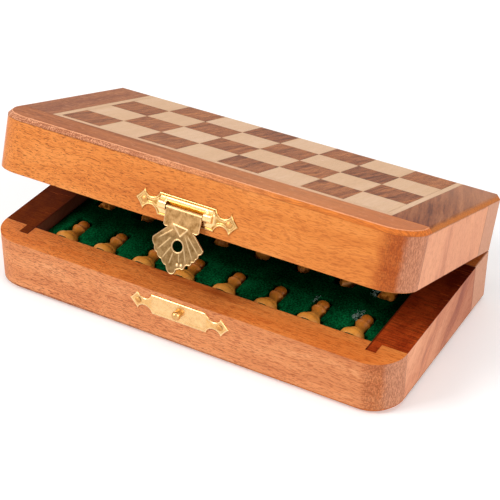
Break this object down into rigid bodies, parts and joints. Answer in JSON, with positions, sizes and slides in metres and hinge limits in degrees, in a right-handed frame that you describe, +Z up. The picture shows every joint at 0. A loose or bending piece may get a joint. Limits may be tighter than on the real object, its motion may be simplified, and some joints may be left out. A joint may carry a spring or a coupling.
{
  "type": "chess box with hinged lid",
  "caption": "Folding wooden travel chess box, half board on each outer face, velvet-lined trays holding the men, back hinges and a fan clasp.",
  "frame": {"origin": "middle of the base's flat underside", "axes": "+X along the front edge to the right, +Y from front to back, +Z up"},
  "size_m": [0.178, 0.1004, 0.0728],
  "materials": {
    "sheesham": "satin",
    "plywood": "matte",
    "border_walnut": "satin",
    "maple": "satin",
    "dark_sheesham": "satin",
    "boxwood": "satin",
    "stained_boxwood": "satin",
    "green_velvet": "velvet pile",
    "green_felt": "felt",
    "brass": "lacquered",
    "brass_flap": "satin",
    "steel_pin": "brushed"
  },
  "bodies": {
    "base": {"base_back_rail": "sheesham", "base_bishops": "boxwood", "base_border_front": "border_walnut", "base_border_left": "border_walnut", "base_border_right": "border_walnut", "base_core_panel": "plywood", "base_dark_squares": "dark_sheesham", "base_felts": "green_felt", "base_front_rail": "sheesham", "base_hinge_screws": "brass", "base_king": "boxwood", "base_knights": "boxwood", "base_left_rail": "sheesham", "base_light_squares": "maple", "base_pawns": "boxwood", "base_queen": "boxwood", "base_right_rail": "sheesham", "base_rooks": "boxwood", "base_stringing_front": "maple", "base_stringing_left": "maple", "base_stringing_right": "maple", "base_velvet_insert": "green_velvet", "catch_plate": "brass", "catch_plate_nails": "brass", "catch_stud": "brass", "hinge_left_base_leaf": "brass", "hinge_left_pin": "steel_pin", "hinge_right_base_leaf": "brass", "hinge_right_pin": "steel_pin"},
    "lid": {"clasp_pin": "steel_pin", "clasp_plate": "brass", "clasp_plate_nails": "brass", "hinge_left_lid_leaf": "brass", "hinge_right_lid_leaf": "brass", "lid_back_rail": "sheesham", "lid_bishops": "stained_boxwood", "lid_border_front": "border_walnut", "lid_border_left": "border_walnut", "lid_border_right": "border_walnut", "lid_core_panel": "plywood", "lid_dark_squares": "dark_sheesham", "lid_felts": "green_felt", "lid_front_rail": "sheesham", "lid_hinge_screws": "brass", "lid_king": "stained_boxwood", "lid_knights": "stained_boxwood", "lid_left_rail": "sheesham", "lid_light_squares": "maple", "lid_pawns": "stained_boxwood", "lid_queen": "stained_boxwood", "lid_right_rail": "sheesham", "lid_rooks": "stained_boxwood", "lid_stringing_front": "maple", "lid_stringing_left": "maple", "lid_stringing_right": "maple", "lid_velvet_insert": "green_velvet"},
    "clasp": {"clasp_flap": "brass_flap"}
  },
  "joints": [
    {"name": "lid_hinge", "type": "hinge", "parent": "base", "child": "lid", "pos_m": [0, 0.04465, 0.02285], "axis": [-1, 0, 0], "range_deg": [-18.9, 161.1]},
    {"name": "clasp_hinge", "type": "hinge", "parent": "lid", "child": "clasp", "pos_m": [0.0008, -0.0388, 0.05835], "axis": [-1, 0, 0], "range_deg": [-3, 147]}
  ]
}
